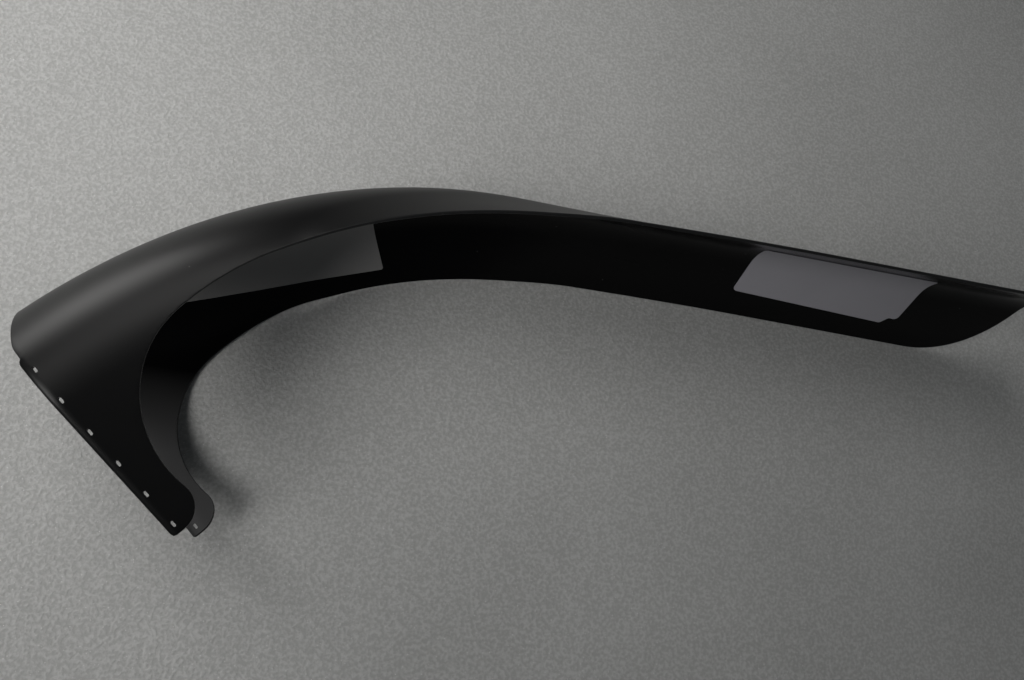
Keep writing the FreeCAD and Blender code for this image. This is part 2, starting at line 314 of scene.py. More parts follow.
def rounded(corners: Sequence[tuple[tuple[float, float], float]], step: float = 0.4) -> np.ndarray:
    """Closed outline with rounded corners.

    Args:
        corners: Each corner and its radius, in order round the outline.
        step: Distance between points on the corners.

    Returns:
        Points of the outline, one a row.
    """
    spots = [np.array(spot) for spot, _ in corners]
    rows = []
    for number, (_, radius) in enumerate(corners):
        here = spots[number]
        before, after = spots[number - 1] - here, spots[(number + 1) % len(spots)] - here
        before, after = before / np.linalg.norm(before), after / np.linalg.norm(after)
        half = math.acos(float(np.clip(before @ after, -1.0, 1.0))) / 2
        middle = before + after
        centre = here + middle / np.linalg.norm(middle) * radius / math.sin(half)
        first, last = here + before * radius / math.tan(half), here + after * radius / math.tan(half)
        rows += [first[None], arc_points(centre, first, last, step)]
    return np.concatenate(rows)


def circle_centre(first: np.ndarray, second: np.ndarray, third: np.ndarray) -> np.ndarray:
    """Centre of the circle through three points."""
    rows = np.array((second - first, third - first))
    return first + np.linalg.solve(rows, (rows ** 2).sum(axis=1) / 2)


def outline_distance(points: np.ndarray, outline: np.ndarray, chunk: int = 4000) -> np.ndarray:
    """Signed distance of points to a closed outline.

    Args:
        points: One point a row.
        outline: Corners of the outline, one a row.
        chunk: How many points are worked on at once.

    Returns:
        Distance of each point, positive inside.
    """
    run = np.roll(outline, -1, axis=0) - outline
    length = (run ** 2).sum(axis=1)
    rise = np.where(run[:, 1] == 0, 1e-12, run[:, 1])
    found = []
    for low in range(0, len(points), chunk):
        offset = points[low:low + chunk, None, :] - outline
        along = np.clip((offset * run).sum(axis=2) / length, 0.0, 1.0)
        gap = np.linalg.norm(offset - along[..., None] * run, axis=2).min(axis=1)
        crossed = (offset[..., 1] < 0) != (offset[..., 1] < run[:, 1])
        before = offset[..., 0] < offset[..., 1] * run[:, 0] / rise
        inside = (crossed & before).sum(axis=1) % 2 == 1
        found.append(np.where(inside, gap, -gap))
    return np.concatenate(found)


@dataclass
class FlatCut:
    """A flat sheet cut to an outline: spots of place and reach, and faces that turn anticlockwise."""

    spots: np.ndarray
    faces: list[list[int]]

    @classmethod
    def from_grid(cls, places: np.ndarray, reaches: np.ndarray, kept: np.ndarray) -> "FlatCut":
        """Cut a grid along the line where the kept distance is zero.

        Args:
            places: Grid lines along the crown.
            reaches: Grid lines across it.
            kept: Signed distance to the outline at each crossing of the grid, positive where material stays.

        Returns:
            The cut sheet.
        """
        spots: list[tuple[float, float]] = []
        faces: list[list[int]] = []
        known: dict[tuple, int] = {}
        stays = kept > 0
        some = stays[:-1, :-1] | stays[1:, :-1] | stays[1:, 1:] | stays[:-1, 1:]
        for i, j in np.argwhere(some).tolist():
            corners = ((i, j), (i + 1, j), (i + 1, j + 1), (i, j + 1))
            face = []
            for a, b in zip(corners, corners[1:] + corners[:1]):
                if stays[a]:
                    face.append((a, a, 0.0))
                if stays[a] != stays[b]:
                    low, high = min(a, b), max(a, b)
                    face.append((low, high, kept[low] / (kept[low] - kept[high])))
            numbers = []
            for a, b, share in face:
                if (a, b) not in known:
                    known[a, b] = len(spots)
                    spots.append((
                        places[a[0]] + share * (places[b[0]] - places[a[0]]),
                        reaches[a[1]] + share * (reaches[b[1]] - reaches[a[1]]),
                    ))
                numbers.append(known[a, b])
            if len(numbers) > 2:
                faces.append(numbers)
        return cls(np.array(spots), faces)

    def thick(self, name: str, top: float, bottom: float, bulge: float, steps: int) -> bpy.types.Mesh:
        """Make a closed flat blank of the cut sheet.

        Args:
            name: Name of the mesh.
            top: Depth of the outer face.
            bottom: Depth of the inner face.
            bulge: How far the rounded rim stands out.
            steps: Strips across the rim.

        Returns:
            A mesh whose coordinates are place, reach and depth in metres, with the side of each face.
        """
        count = len(self.spots)
        sides = {(a, b) for face in self.faces for a, b in zip(face, face[1:] + face[:1])}
        border = sorted((a, b) for a, b in sides if (b, a) not in sides)
        away = np.zeros((count, 2))
        for a, b in border:
            run = self.spots[b] - self.spots[a]
            away[[a, b]] += (run[1], -run[0])
        lengths = np.linalg.norm(away, axis=1, keepdims=True)
        away = np.divide(away, lengths, out=np.zeros_like(away), where=lengths > 0)

        rim = sorted({a for side in border for a in side})
        rows = [np.column_stack((self.spots, np.full(count, depth))) for depth in (top, bottom)]
        rings: list[dict[int, int]] = [{spot: spot for spot in rim}]
        for step in range(1, steps):
            turn = math.pi * step / steps
            depth = top + (bottom - top) * (1 - math.cos(turn)) / 2
            spots = self.spots[rim] + away[rim] * bulge * math.sin(turn)
            first = sum(len(row) for row in rows)
            rows.append(np.column_stack((spots, np.full(len(rim), depth))))
            rings.append({spot: first + number for number, spot in enumerate(rim)})
        rings.append({spot: count + spot for spot in rim})

        faces = [face[::-1] for face in self.faces]
        faces += [[count + spot for spot in face] for face in self.faces]
        for upper, lower in zip(rings, rings[1:]):
            faces += [[upper[a], upper[b], lower[b], lower[a]] for a, b in border]
        finish = np.full(len(faces), Face.RIM, dtype=np.int32)
        finish[:len(self.faces)] = Face.OUTSIDE
        finish[len(self.faces):2 * len(self.faces)] = Face.INSIDE

        mesh = bpy.data.meshes.new(name)
        mesh.from_pydata((np.concatenate(rows) * MM).tolist(), [], faces)
        mesh.attributes.new("finish", "INT", "FACE").data.foreach_set("value", finish)
        return mesh


class BendTree:
    """Geometry Nodes tree that bends a flat blank round the crown and over the flanks."""

    INPUTS = (
        ("Crown Radius", "NodeSocketFloat"),
        ("Front Angle", "NodeSocketFloat"),
        ("Wheel Run", "NodeSocketFloat"),
        ("Lip Slope", "NodeSocketFloat"),
        ("Outside", "NodeSocketMaterial"),
        ("Inside", "NodeSocketMaterial"),
        ("Rim", "NodeSocketMaterial"),
    )

    def __init__(self, form: Form) -> None:
        """Build the tree for one form."""
        self.form = form
        self.tree = bpy.data.node_groups.new("bend_sheet", "GeometryNodeTree")
        self.sockets: dict[str, str] = {}
        interface = self.tree.interface
        interface.new_socket("Geometry", in_out="INPUT", socket_type="NodeSocketGeometry")
        for name, kind in self.INPUTS:
            self.sockets[name] = interface.new_socket(name, in_out="INPUT", socket_type=kind).identifier
        interface.new_socket("Geometry", in_out="OUTPUT", socket_type="NodeSocketGeometry")
        self._lay_nodes()

    def _lay_nodes(self) -> None:
        """Lay the nodes that move each point of the blank and set its material."""
        sketch = Sketch(self.tree)
        given = sketch.add("NodeGroupInput").outputs
        calc = sketch.math

        def attribute(name: str, kind: str = "FLOAT") -> bpy.types.NodeSocket:
            """Socket of a named attribute of the blank."""
            return sketch.add("GeometryNodeInputNamedAttribute", {"Name": name}, data_type=kind).outputs[0]

        position = sketch.add("GeometryNodeInputPosition").outputs[0]
        flat = sketch.add("ShaderNodeSeparateXYZ", {0: position}).outputs
        place, reach, depth = flat[0], flat[1], flat[2]
        arc, sweep, lean = attribute("arc"), attribute("sweep"), attribute("lean")

        # The crown: a wheel arc, with straight runs before its front end and along the tail
        on_wheel = calc("MINIMUM", calc("MAXIMUM", place, 0.0), given["Wheel Run"])
        straight = calc("SUBTRACT", place, on_wheel)
        turn = calc("SUBTRACT", given["Front Angle"], calc("DIVIDE", on_wheel, given["Crown Radius"]))
        tilt = calc("SUBTRACT", turn, lean)
        out_x, out_y = calc("COSINE", tilt), calc("SINE", tilt)

        # The section: a crown arc that runs into straight flanks, and the lip that leans in at the front
        ahead = calc("MINIMUM", place, 0.0)
        low = calc("MULTIPLY_ADD", ahead, calc("MULTIPLY", given["Lip Slope"], -1.0), depth)
        bow = calc("DIVIDE", reach, arc)
        bow = calc("MAXIMUM", calc("MINIMUM", bow, sweep), calc("MULTIPLY", sweep, -1.0))
        flank = calc("SUBTRACT", reach, calc("MULTIPLY", arc, bow))
        radius = calc("SUBTRACT", arc, low)
        cos_bow, sin_bow = calc("COSINE", bow), calc("SINE", bow)
        fall = calc("MULTIPLY_ADD", flank, sin_bow, arc)
        high = calc("SUBTRACT", calc("MULTIPLY", radius, cos_bow), fall)
        wide = calc("MULTIPLY_ADD", radius, sin_bow, calc("MULTIPLY", flank, cos_bow))

        wheel = given["Crown Radius"]
        crown_x = calc("MULTIPLY_ADD", wheel, calc("COSINE", turn), calc("MULTIPLY", out_y, straight))
        wheel_y = calc("MULTIPLY", wheel, calc("SINE", turn))
        crown_y = calc("SUBTRACT", wheel_y, calc("MULTIPLY", out_x, straight))
        side_x = calc("MULTIPLY_ADD", out_x, high, crown_x)
        side_y = calc("MULTIPLY_ADD", out_y, high, crown_y)
        spot = sketch.add("ShaderNodeCombineXYZ", {0: side_x, 1: side_y, 2: wide}).outputs[0]
        moved = sketch.add("GeometryNodeSetPosition", {"Geometry": given["Geometry"], "Position": spot})
        shape = sketch.add("GeometryNodeRealizeInstances", {"Geometry": moved.outputs[0]}).outputs[0]

        finish = attribute("finish", "INT")
        for face in Face:
            chosen = sketch.add("FunctionNodeCompare", data_type="INT", operation="EQUAL")
            sides = {socket.identifier: socket for socket in chosen.inputs}
            sketch.feed(sides["A_INT"], finish)
            sketch.feed(sides["B_INT"], int(face))
            material = given[face.name.title()]
            shape = sketch.add("GeometryNodeSetMaterial", {
                "Geometry": shape, "Selection": chosen.outputs[0], "Material": material}).outputs[0]
        sketch.add("NodeGroupOutput", {0: shape})

    def bend(self, blank: bpy.types.Mesh, finishes: Sequence[bpy.types.Material] = ()) -> bpy.types.Mesh:
        """Bend a flat blank.

        Args:
            blank: Mesh whose coordinates are place, reach and depth in metres. It is removed.
            finishes: Materials of the outside, the inside and the rim.

        Returns:
            The bent mesh about the wheel centre.
        """
        flat = np.empty(len(blank.vertices) * 3)
        blank.vertices.foreach_get("co", flat)
        arcs, sweeps, leans = self.form.law(flat[::3] / MM)
        for name, values in (("arc", arcs * MM), ("sweep", sweeps), ("lean", leans)):
            blank.attributes.new(name, "FLOAT", "POINT").data.foreach_set("value", values.astype(np.float32))
        holder = bpy.data.objects.new(blank.name, blank)
        bpy.context.scene.collection.objects.link(holder)
        modifier = holder.modifiers.new("bend", "NODES")
        modifier.node_group = self.tree
        form = self.form
        modifier[self.sockets["Crown Radius"]] = form.crown_radius * MM
        modifier[self.sockets["Front Angle"]] = math.radians(form.front_angle)
        modifier[self.sockets["Wheel Run"]] = form.wheel_run * MM
        modifier[self.sockets["Lip Slope"]] = form.lip_inset / form.lip_width
        for face, material in zip(Face, finishes):
            modifier[self.sockets[face.name.title()]] = material
        bent = plain_mesh(holder)
        drop(holder)
        for name in ("arc", "sweep", "lean", "finish"):
            if name in bent.attributes:
                bent.attributes.remove(bent.attributes[name])
        close_slots(bent)
        return bent


def close_slots(mesh: bpy.types.Mesh) -> None:
    """Remove empty material slots and keep each face on its own material."""
    numbers = np.zeros(len(mesh.polygons), dtype=np.int32)
    mesh.polygons.foreach_get("material_index", numbers)
    filled = [(old, material) for old, material in enumerate(mesh.materials) if material]
    mesh.materials.clear()
    moved = numbers.copy()
    for new, (old, material) in enumerate(filled):
        mesh.materials.append(material)
        moved[numbers == old] = new
    mesh.polygons.foreach_set("material_index", moved)


def plain_mesh(holder: bpy.types.Object) -> bpy.types.Mesh:
    """Plain mesh of an object with its modifiers applied."""
    graph = bpy.context.evaluated_depsgraph_get()
    return bpy.data.meshes.new_from_object(holder.evaluated_get(graph), depsgraph=graph)


def drop(holder: bpy.types.Object) -> None:
    """Remove a scratch object and its mesh."""
    mesh = holder.data
    bpy.data.objects.remove(holder)
    bpy.data.meshes.remove(mesh)


def cut_sheet(
    tree: BendTree,
    places: np.ndarray,
    reaches: np.ndarray,
    depth: float,
    keep: Callable[[np.ndarray], np.ndarray],
) -> FlatCut:
    """Cut a flat grid so that its bent form keeps to an outline.

    Args:
        tree: The bend that the outline is tested in.
        places: Grid lines along the crown.
        reaches: Grid lines across it.
        depth: Depth below the outer face at which the outline is tested.
        keep: Signed distance of bent points to the outline, in millimetres about the wheel centre.

    Returns:
        The cut sheet.
    """
    grid = np.stack(np.meshgrid(places, reaches, indexing="ij"), axis=-1).reshape(-1, 2)
    mesh = bpy.data.meshes.new("trial_grid")
    mesh.from_pydata((np.column_stack((grid, np.full(len(grid), depth))) * MM).tolist(), [], [])
    bent = tree.bend(mesh)
    spots = np.empty(len(bent.vertices) * 3)
    bent.vertices.foreach_get("co", spots)
    bpy.data.meshes.remove(bent)
    kept = keep(spots.reshape(-1, 3) / MM).reshape(len(places), len(reaches))
    return FlatCut.from_grid(places, reaches, kept)


def place_piece(mesh: bpy.types.Mesh, name: str, node: str) -> bpy.types.Object:
    """Put a finished mesh in the scene as the piece that stands for a node.

    Args:
        mesh: The piece's mesh in the row frame.
        name: Name of the piece.
        node: The node that it replaces.

    Returns:
        The piece.
    """
    piece = bpy.data.objects.new(name, mesh)
    bpy.context.scene.collection.objects.link(piece)
    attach(piece, BODY)
    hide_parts(node)
    mesh.calc_loop_triangles()
    LOG.info("%s stands for %s: %d triangles", name, node, len(mesh.loop_triangles))
    return piece


class Group:
    """A shader node group that several finishes share."""

    def __init__(self, name: str, inputs: dict[str, float], outputs: Sequence[str]) -> None:
        """Make an empty group with named float sockets."""
        self.tree = bpy.data.node_groups.new(name, "ShaderNodeTree")
        for label, value in inputs.items():
            socket = self.tree.interface.new_socket(label, in_out="INPUT", socket_type="NodeSocketFloat")
            socket.default_value = value
        for label in outputs:
            self.tree.interface.new_socket(label, in_out="OUTPUT", socket_type="NodeSocketFloat")
        self.sketch = Sketch(self.tree)
        self.given = self.sketch.add("NodeGroupInput").outputs
        self.result = self.sketch.add("NodeGroupOutput").inputs

    def place(self, sketch: Sketch, values: dict[str, Value]) -> bpy.types.bpy_prop_collection:
        """Place the group in a material.

        Args:
            sketch: The material's sketch.
            values: Inputs by name.

        Returns:
            The group's outputs.
        """
        node = sketch.add("ShaderNodeGroup", node_tree=self.tree)
        for label, value in values.items():
            sketch.feed(node.inputs[label], value)
        return node.outputs


class Effects:
    """Grain, haze, and specks of dust and painted glints, built once for all finishes."""

    PITS = (0.42, 0.62)
    PATCHES = (0.35, 0.7)
    SPECKS = (0.05, 0.16)

    def __init__(self) -> None:
        """Build the three groups."""
        self.grain = self._grain()
        self.haze = self._haze()
        self.dust = self._dust_and_glints()

    @staticmethod
    def _grain() -> Group:
        """Fine moulded grain: a height and a mask of its pits."""
        group = Group("moulded_grain", {"Scale": 1500.0, "Detail": 2.0}, ("Height", "Mask"))
        sketch = group.sketch
        spot = sketch.add("ShaderNodeTexCoord").outputs["Object"]
        noise = sketch.add("ShaderNodeTexNoise", {
            "Vector": spot, "Scale": group.given["Scale"], "Detail": group.given["Detail"], "Roughness": 0.6})
        sketch.feed(group.result["Height"], noise.outputs[0])
        sketch.feed(group.result["Mask"], sketch.remap(noise.outputs[0], *Effects.PITS, 0.0, 1.0))
        return group

    @staticmethod
    def _haze() -> Group:
        """Broad soft patches drawn out along the tail: handling marks and flow of the sheet."""
        group = Group("handling_haze", {"Scale": 14.0, "Stretch": 0.25}, ("Mask", "Height"))
        sketch = group.sketch
        spot = sketch.add("ShaderNodeTexCoord").outputs["Object"]
        size = sketch.add("ShaderNodeCombineXYZ", {0: group.given["Stretch"], 1: 1.0, 2: 1.0}).outputs[0]
        drawn = sketch.add("ShaderNodeVectorMath", {0: spot, 1: size}, operation="MULTIPLY").outputs[0]
        noise = sketch.add("ShaderNodeTexNoise", {
            "Vector": drawn, "Scale": group.given["Scale"], "Detail": 3.0, "Roughness": 0.5,
            "Distortion": 0.3})
        sketch.feed(group.result["Mask"], sketch.remap(noise.outputs[0], *Effects.PATCHES, 0.0, 1.0))
        sketch.feed(group.result["Height"], noise.outputs[0])
        return group

    @staticmethod
    def _dust_and_glints() -> Group:
        """Scattered specks: dust and lint on the plastics, and painted glints on the table."""
        group = Group("dust_specks", {"Scale": 260.0, "Amount": 0.06}, ("Mask",))
        sketch = group.sketch
        spot = sketch.add("ShaderNodeTexCoord").outputs["Object"]
        cells = sketch.add("ShaderNodeTexVoronoi", {"Vector": spot, "Scale": group.given["Scale"]})
        near = sketch.remap(cells.outputs["Distance"], *Effects.SPECKS, 1.0, 0.0)
        chance = sketch.add("ShaderNodeSeparateColor", {0: cells.outputs["Color"]}).outputs[0]
        chosen = sketch.math("LESS_THAN", chance, group.given["Amount"])
        sketch.feed(group.result["Mask"], sketch.math("MULTIPLY", near, chosen))
        return group


@dataclass(frozen=True)
class Surface:
    """Common base of the finishes: a material with one Principled shader."""

    name: str

    def start(self) -> tuple[bpy.types.Material, Sketch, bpy.types.Node]:
        """Make the material, its sketch and its shader."""
        material = bpy.data.materials.new(self.name)
        material.use_nodes = True
        material.node_tree.nodes.clear()
        sketch = Sketch(material.node_tree)
        shader = sketch.add("ShaderNodeBsdfPrincipled")
        sketch.add("ShaderNodeOutputMaterial", {"Surface": shader.outputs[0]})
        return material, sketch, shader


@dataclass(frozen=True)
class Plastic(Surface):
    """Black moulded plastic: satin and grained, or glossy and drawn smooth.

    Heights are in millimetres, and the range of the painted sheen toward the wing ends is in metres along the
    row's Y.
    """

    colour: Colour
    worn: Colour
    roughness: tuple[float, float]
    grain_scale: float
    grain_height: float
    haze_height: float
    specular: float
    painted_sheen_colour: Optional[Colour] = None
    painted_sheen_range: tuple[float, float] = (-0.07, -0.015)
    dust_colour: Colour = (0.06, 0.06, 0.06)
    dust_amount: float = 0.02
    dust_roughness: float = 0.3

    def build(self, effects: Effects) -> bpy.types.Material:
        """Build the material from the shared effects."""
        material, sketch, shader = self.start()
        grain = effects.grain.place(sketch, {"Scale": self.grain_scale})
        haze = effects.haze.place(sketch, {})
        dust = effects.dust.place(sketch, {"Amount": self.dust_amount})
        mottle = sketch.math("MULTIPLY", haze["Mask"], grain["Mask"])
        colour = sketch.mix_colour(mottle, self.colour, self.worn)
        # Painted sheen: a lighter grey zone on the inside toward the wing ends stands in for reflected light
        if self.painted_sheen_colour:
            colour = sketch.mix_colour(self._painted_sheen_mask(sketch), colour, self.painted_sheen_colour)
        colour = sketch.mix_colour(dust["Mask"], colour, self.dust_colour)
        sketch.feed(shader.inputs["Base Color"], colour)
        shader.inputs["Specular IOR Level"].default_value = self.specular
        rough = sketch.remap(haze["Mask"], 0.0, 1.0, *self.roughness)
        rough = sketch.math("MULTIPLY_ADD", dust["Mask"], self.dust_roughness, rough)
        sketch.feed(shader.inputs["Roughness"], rough)
        flow = sketch.add("ShaderNodeBump", {
            "Strength": 1.0, "Distance": self.haze_height * MM, "Height": haze["Height"]})
        bump = sketch.add("ShaderNodeBump", {
            "Strength": 1.0, "Distance": self.grain_height * MM, "Height": grain["Height"],
            "Normal": flow.outputs[0]})
        sketch.feed(shader.inputs["Normal"], bump.outputs[0])
        return material

    def _painted_sheen_mask(self, sketch: Sketch) -> bpy.types.NodeSocket:
        """Mask that grows toward the ends of the wings, where a painted sheen lightens the inside."""
        spot = sketch.add("ShaderNodeTexCoord").outputs["Object"]
        height = sketch.add("ShaderNodeSeparateXYZ", {0: spot}).outputs[1]
        return sketch.remap(height, *self.painted_sheen_range, 1.0, 0.0)


@dataclass(frozen=True)
class Sticker(Surface):
    """Paper or film of a sticker, with fibres and soft creases."""

    colour: Colour
    shade: Colour
    roughness: tuple[float, float]
    fibre_scale: float
    fibre_height: float
    crease_height: float
    fibre_detail: float = 4.0
    fibre_share: float = 0.35
    haze_scale: float = 22.0
    haze_stretch: float = 0.6
    haze_share: float = 0.5

    def build(self, effects: Effects) -> bpy.types.Material:
        """Build the material from the shared effects."""
        material, sketch, shader = self.start()
        fibre = effects.grain.place(sketch, {"Scale": self.fibre_scale, "Detail": self.fibre_detail})
        haze = effects.haze.place(sketch, {"Scale": self.haze_scale, "Stretch": self.haze_stretch})
        patches = sketch.math("MULTIPLY", haze["Mask"], self.haze_share)
        mottle = sketch.math("MULTIPLY_ADD", fibre["Mask"], self.fibre_share, patches)
        sketch.feed(shader.inputs["Base Color"], sketch.mix_colour(mottle, self.colour, self.shade))
        sketch.feed(shader.inputs["Roughness"], sketch.remap(haze["Mask"], 0.0, 1.0, *self.roughness))
        crease = sketch.add("ShaderNodeBump", {
            "Strength": 1.0, "Distance": self.crease_height * MM, "Height": haze["Height"]})
        bump = sketch.add("ShaderNodeBump", {
            "Strength": 1.0, "Distance": self.fibre_height * MM, "Height": fibre["Height"],
            "Normal": crease.outputs[0]})
        sketch.feed(shader.inputs["Normal"], bump.outputs[0])
        return material


@dataclass(frozen=True)
class TableTop(Surface):
    """Pale table with a fine pebbled coating and painted glints."""

    colour: Colour
    speck: Colour
    roughness: float
    pebble_scale: float
    pebble_height: float
    glint: Colour = (0.95, 0.95, 0.94)
    glint_scale: float = 480.0
    glint_amount: float = 0.3
    pebble_detail: float = 3.0
    pebble_share: float = 0.7
    broad_scale: float = 5.0
    broad_share: float = 0.3

    def build(self, effects: Effects) -> bpy.types.Material:
        """Build the material from the shared effects."""
        material, sketch, shader = self.start()
        pebble = effects.grain.place(sketch, {"Scale": self.pebble_scale, "Detail": self.pebble_detail})
        broad = effects.haze.place(sketch, {"Scale": self.broad_scale, "Stretch": 1.0})
        patches = sketch.math("MULTIPLY", broad["Mask"], self.broad_share)
        mottle = sketch.math("MULTIPLY_ADD", pebble["Mask"], self.pebble_share, patches)
        # Painted glints: white specks in the base colour stand in for the sparkle of light on the pebbles
        glints = effects.dust.place(sketch, {"Scale": self.glint_scale, "Amount": self.glint_amount})
        coating = sketch.mix_colour(mottle, self.colour, self.speck)
        sketch.feed(shader.inputs["Base Color"], sketch.mix_colour(glints["Mask"], coating, self.glint))
        shader.inputs["Roughness"].default_value = self.roughness
        bump = sketch.add("ShaderNodeBump", {
            "Strength": 1.0, "Distance": self.pebble_height * MM, "Height": pebble["Height"]})
        sketch.feed(shader.inputs["Normal"], bump.outputs[0])
        return material


@dataclass
class Moulding:
    """The moulded sheet: wings with stay lips and tie slots, arched crown and ridged tail.

    Sizes are in millimetres and degrees about the wheel centre.
    """

    form: Form
    tip_depth: float = 156.3
    tip_round: float = 14.0
    hook_radius: float = 63.5
    hook_centre: tuple[float, float] = (-135.7, 211.6)
    blend_radius: float = 172.0
    arch_edge_radius: float = 369.6
    arch_centre: tuple[float, float] = (45.3, -26.9)
    lip_depth: float = 40.8
    notch_radius: float = 110.0
    notch_depth: float = 13.0
    slot_count: int = 6
    slot_first: float = 49.9
    slot_pitch: float = 20.2
    slot_length: float = 3.6
    slot_width: float = 1.6
    slot_back: float = 2.2
    plan_angle: float = 114.0
    end_square: float = 2.25
    end_points: int = 90
    clear: float = 30.0
    front_hair: float = 0.02
    grid_step: float = 2.5
    reach_limit: float = 202.0
    lip_lines: tuple[float, float] = (-1.4, -0.7)
    slot_points: int = 9
    rim_bulge: float = 0.4
    rim_steps: int = 6
    crease_angle: float = 50.0

    def front_frame(self) -> tuple[np.ndarray, np.ndarray, np.ndarray]:
        """Crown point of the front plane, the way out of the wheel in that plane and the way back from it."""
        crown = polar(self.form.crown_radius, self.form.front_angle)
        outward = polar(1.0, self.form.front_angle - self.form.front_lean)
        return crown, outward, np.array((outward[1], -outward[0]))

    def blend_centre(self) -> np.ndarray:
        """Centre of the arc that leaves the wing's inner edge and runs into the arch edge."""
        hook, arch = np.array(self.hook_centre), np.array(self.arch_centre)
        near, far = self.blend_radius - self.hook_radius, self.arch_edge_radius - self.blend_radius
        span = float(np.linalg.norm(arch - hook))
        along = (near ** 2 - far ** 2 + span ** 2) / (2 * span)
        rise = math.sqrt(near ** 2 - along ** 2)
        direction = (arch - hook) / span
        return hook + direction * along - np.array((direction[1], -direction[0])) * rise

    def side_outline(self) -> np.ndarray:
        """Outline that the sheet keeps in side view: lips, wing tip, wing edge and arch edge."""
        form = self.form
        crown, outward, back = self.front_frame()
        hook, arch, blend = np.array(self.hook_centre), np.array(self.arch_centre), self.blend_centre()

        def toward(start: np.ndarray, end: np.ndarray, reach: float) -> np.ndarray:
            """Point at a reach from start on the way to end."""
            return start + (end - start) / np.linalg.norm(end - start) * reach

        hook_end = toward(blend, hook, self.blend_radius)
        blend_end = toward(arch, blend, self.arch_edge_radius)
        tip_line = crown - outward * self.tip_depth
        rise = float((hook - tip_line) @ outward) - self.tip_round
        gap = self.hook_radius + self.tip_round
        behind = float((hook - tip_line) @ back) - math.sqrt(gap ** 2 - rise ** 2)
        tip = tip_line + outward * self.tip_round + back * behind
        tip_low = tip - outward * self.tip_round
        tip_side = toward(hook, tip, self.hook_radius)

        # The tail's own edge takes over where the flanks of the arch section reach the full width
        turn = math.radians(form.arch.sweep)
        width = form.half_width_at(polar(form.crown_radius, form.arch.angle)[0])
        drop_low = form.arch.arc * (1 - math.cos(turn))
        drop_low += (width - form.arch.arc * math.sin(turn)) * math.tan(turn)
        low = polar(form.crown_radius - drop_low, form.arch.angle)[1]
        half_chord = math.sqrt(self.arch_edge_radius ** 2 - (low - arch[1]) ** 2)
        arch_end = np.array((arch[0] - half_chord, low))

        far_x, far_y = form.tail_reach + self.clear, form.crown_radius + self.clear
        lip = back * -form.lip_width
        hair = back * self.front_hair
        above = crown + outward * self.clear + hair
        lip_end = crown - outward * self.lip_depth
        corners = np.array((
            arch_end, (far_x, low), (far_x, far_y), (above[0], far_y), above,
            lip_end + hair, lip_end + lip, tip_line + lip, tip_low,
        ))
        return np.concatenate((
            corners,
            arc_points(tip, tip_low, tip_side),
            arc_points(hook, tip_side, hook_end),
            arc_points(blend, hook_end, blend_end),
            arc_points(arch, blend_end, arch_end)[:-1],
        ))

    def plan_outline(self) -> np.ndarray:
        """Outline that the sheet keeps in plan: spreading sides and a round tail end."""
        form = self.form
        front = -form.crown_radius
        front_half, tail_half = form.half_width_at(front), form.half_width_at(form.tail_centre)
        turn = np.linspace(-math.pi / 2, math.pi / 2, self.end_points)
        along = form.tail_centre + form.tail_round * np.abs(np.cos(turn)) ** (2 / self.end_square)
        across = tail_half * np.sign(turn) * np.abs(np.sin(turn)) ** (2 / self.end_square)
        end = np.column_stack((along, across))
        return np.concatenate(([(front, -front_half)], end, [(front, front_half)]))

    def keep(self, points: np.ndarray) -> np.ndarray:
        """Signed distance of points about the wheel centre to the moulding's outline."""
        crown, outward, back = self.front_frame()
        side = outline_distance(points[:, :2], self.side_outline())
        plan = outline_distance(points[:, ::2], self.plan_outline())
        angles = np.degrees(np.arctan2(points[:, 1], points[:, 0]))
        plan = np.where(angles < self.plan_angle, plan, self.clear)
        offset = points[:, :2] - crown
        behind = offset @ back - (self.notch_depth - self.notch_radius)
        notch = np.hypot(behind, points[:, 2]) - self.notch_radius
        notch = np.where(offset @ outward > -self.lip_depth, notch, self.clear)
        return np.minimum(np.minimum(side, plan), notch)

    def slot_cutters(self, rim: bpy.types.Material) -> bpy.types.Object:
        """Row of round-ended prisms that cut the tie slots through both wings, made with Geometry Nodes.

        Args:
            rim: Material of the cut.

        Returns:
            The cutters as one scratch object in the row frame.
        """
        crown, outward, back = self.front_frame()
        radius = self.slot_width / 2
        straight = outward * (self.slot_length / 2 - radius)
        around = np.linspace(0.0, math.pi, self.slot_points)
        turned = np.outer(np.cos(around), back) + np.outer(np.sin(around), outward)
        ring = np.concatenate((straight + radius * turned, -straight - radius * turned))
        count = len(ring)
        width = 2 * self.form.half_width
        points = [(x * MM, y * MM, z * MM) for z in (-width, width) for x, y in ring]
        faces = [list(range(count)), list(range(2 * count - 1, count - 1, -1))]
        faces += [[i + count, (i + 1) % count + count, (i + 1) % count, i] for i in range(count)]
        prism_mesh = bpy.data.meshes.new("slot_prism")
        prism_mesh.from_pydata(points, [], faces)
        form_faces = bmesh.new()
        form_faces.from_mesh(prism_mesh)
        bmesh.ops.recalc_face_normals(form_faces, faces=form_faces.faces)
        form_faces.to_mesh(prism_mesh)
        form_faces.free()
        prism = bpy.data.objects.new("slot_prism", prism_mesh)

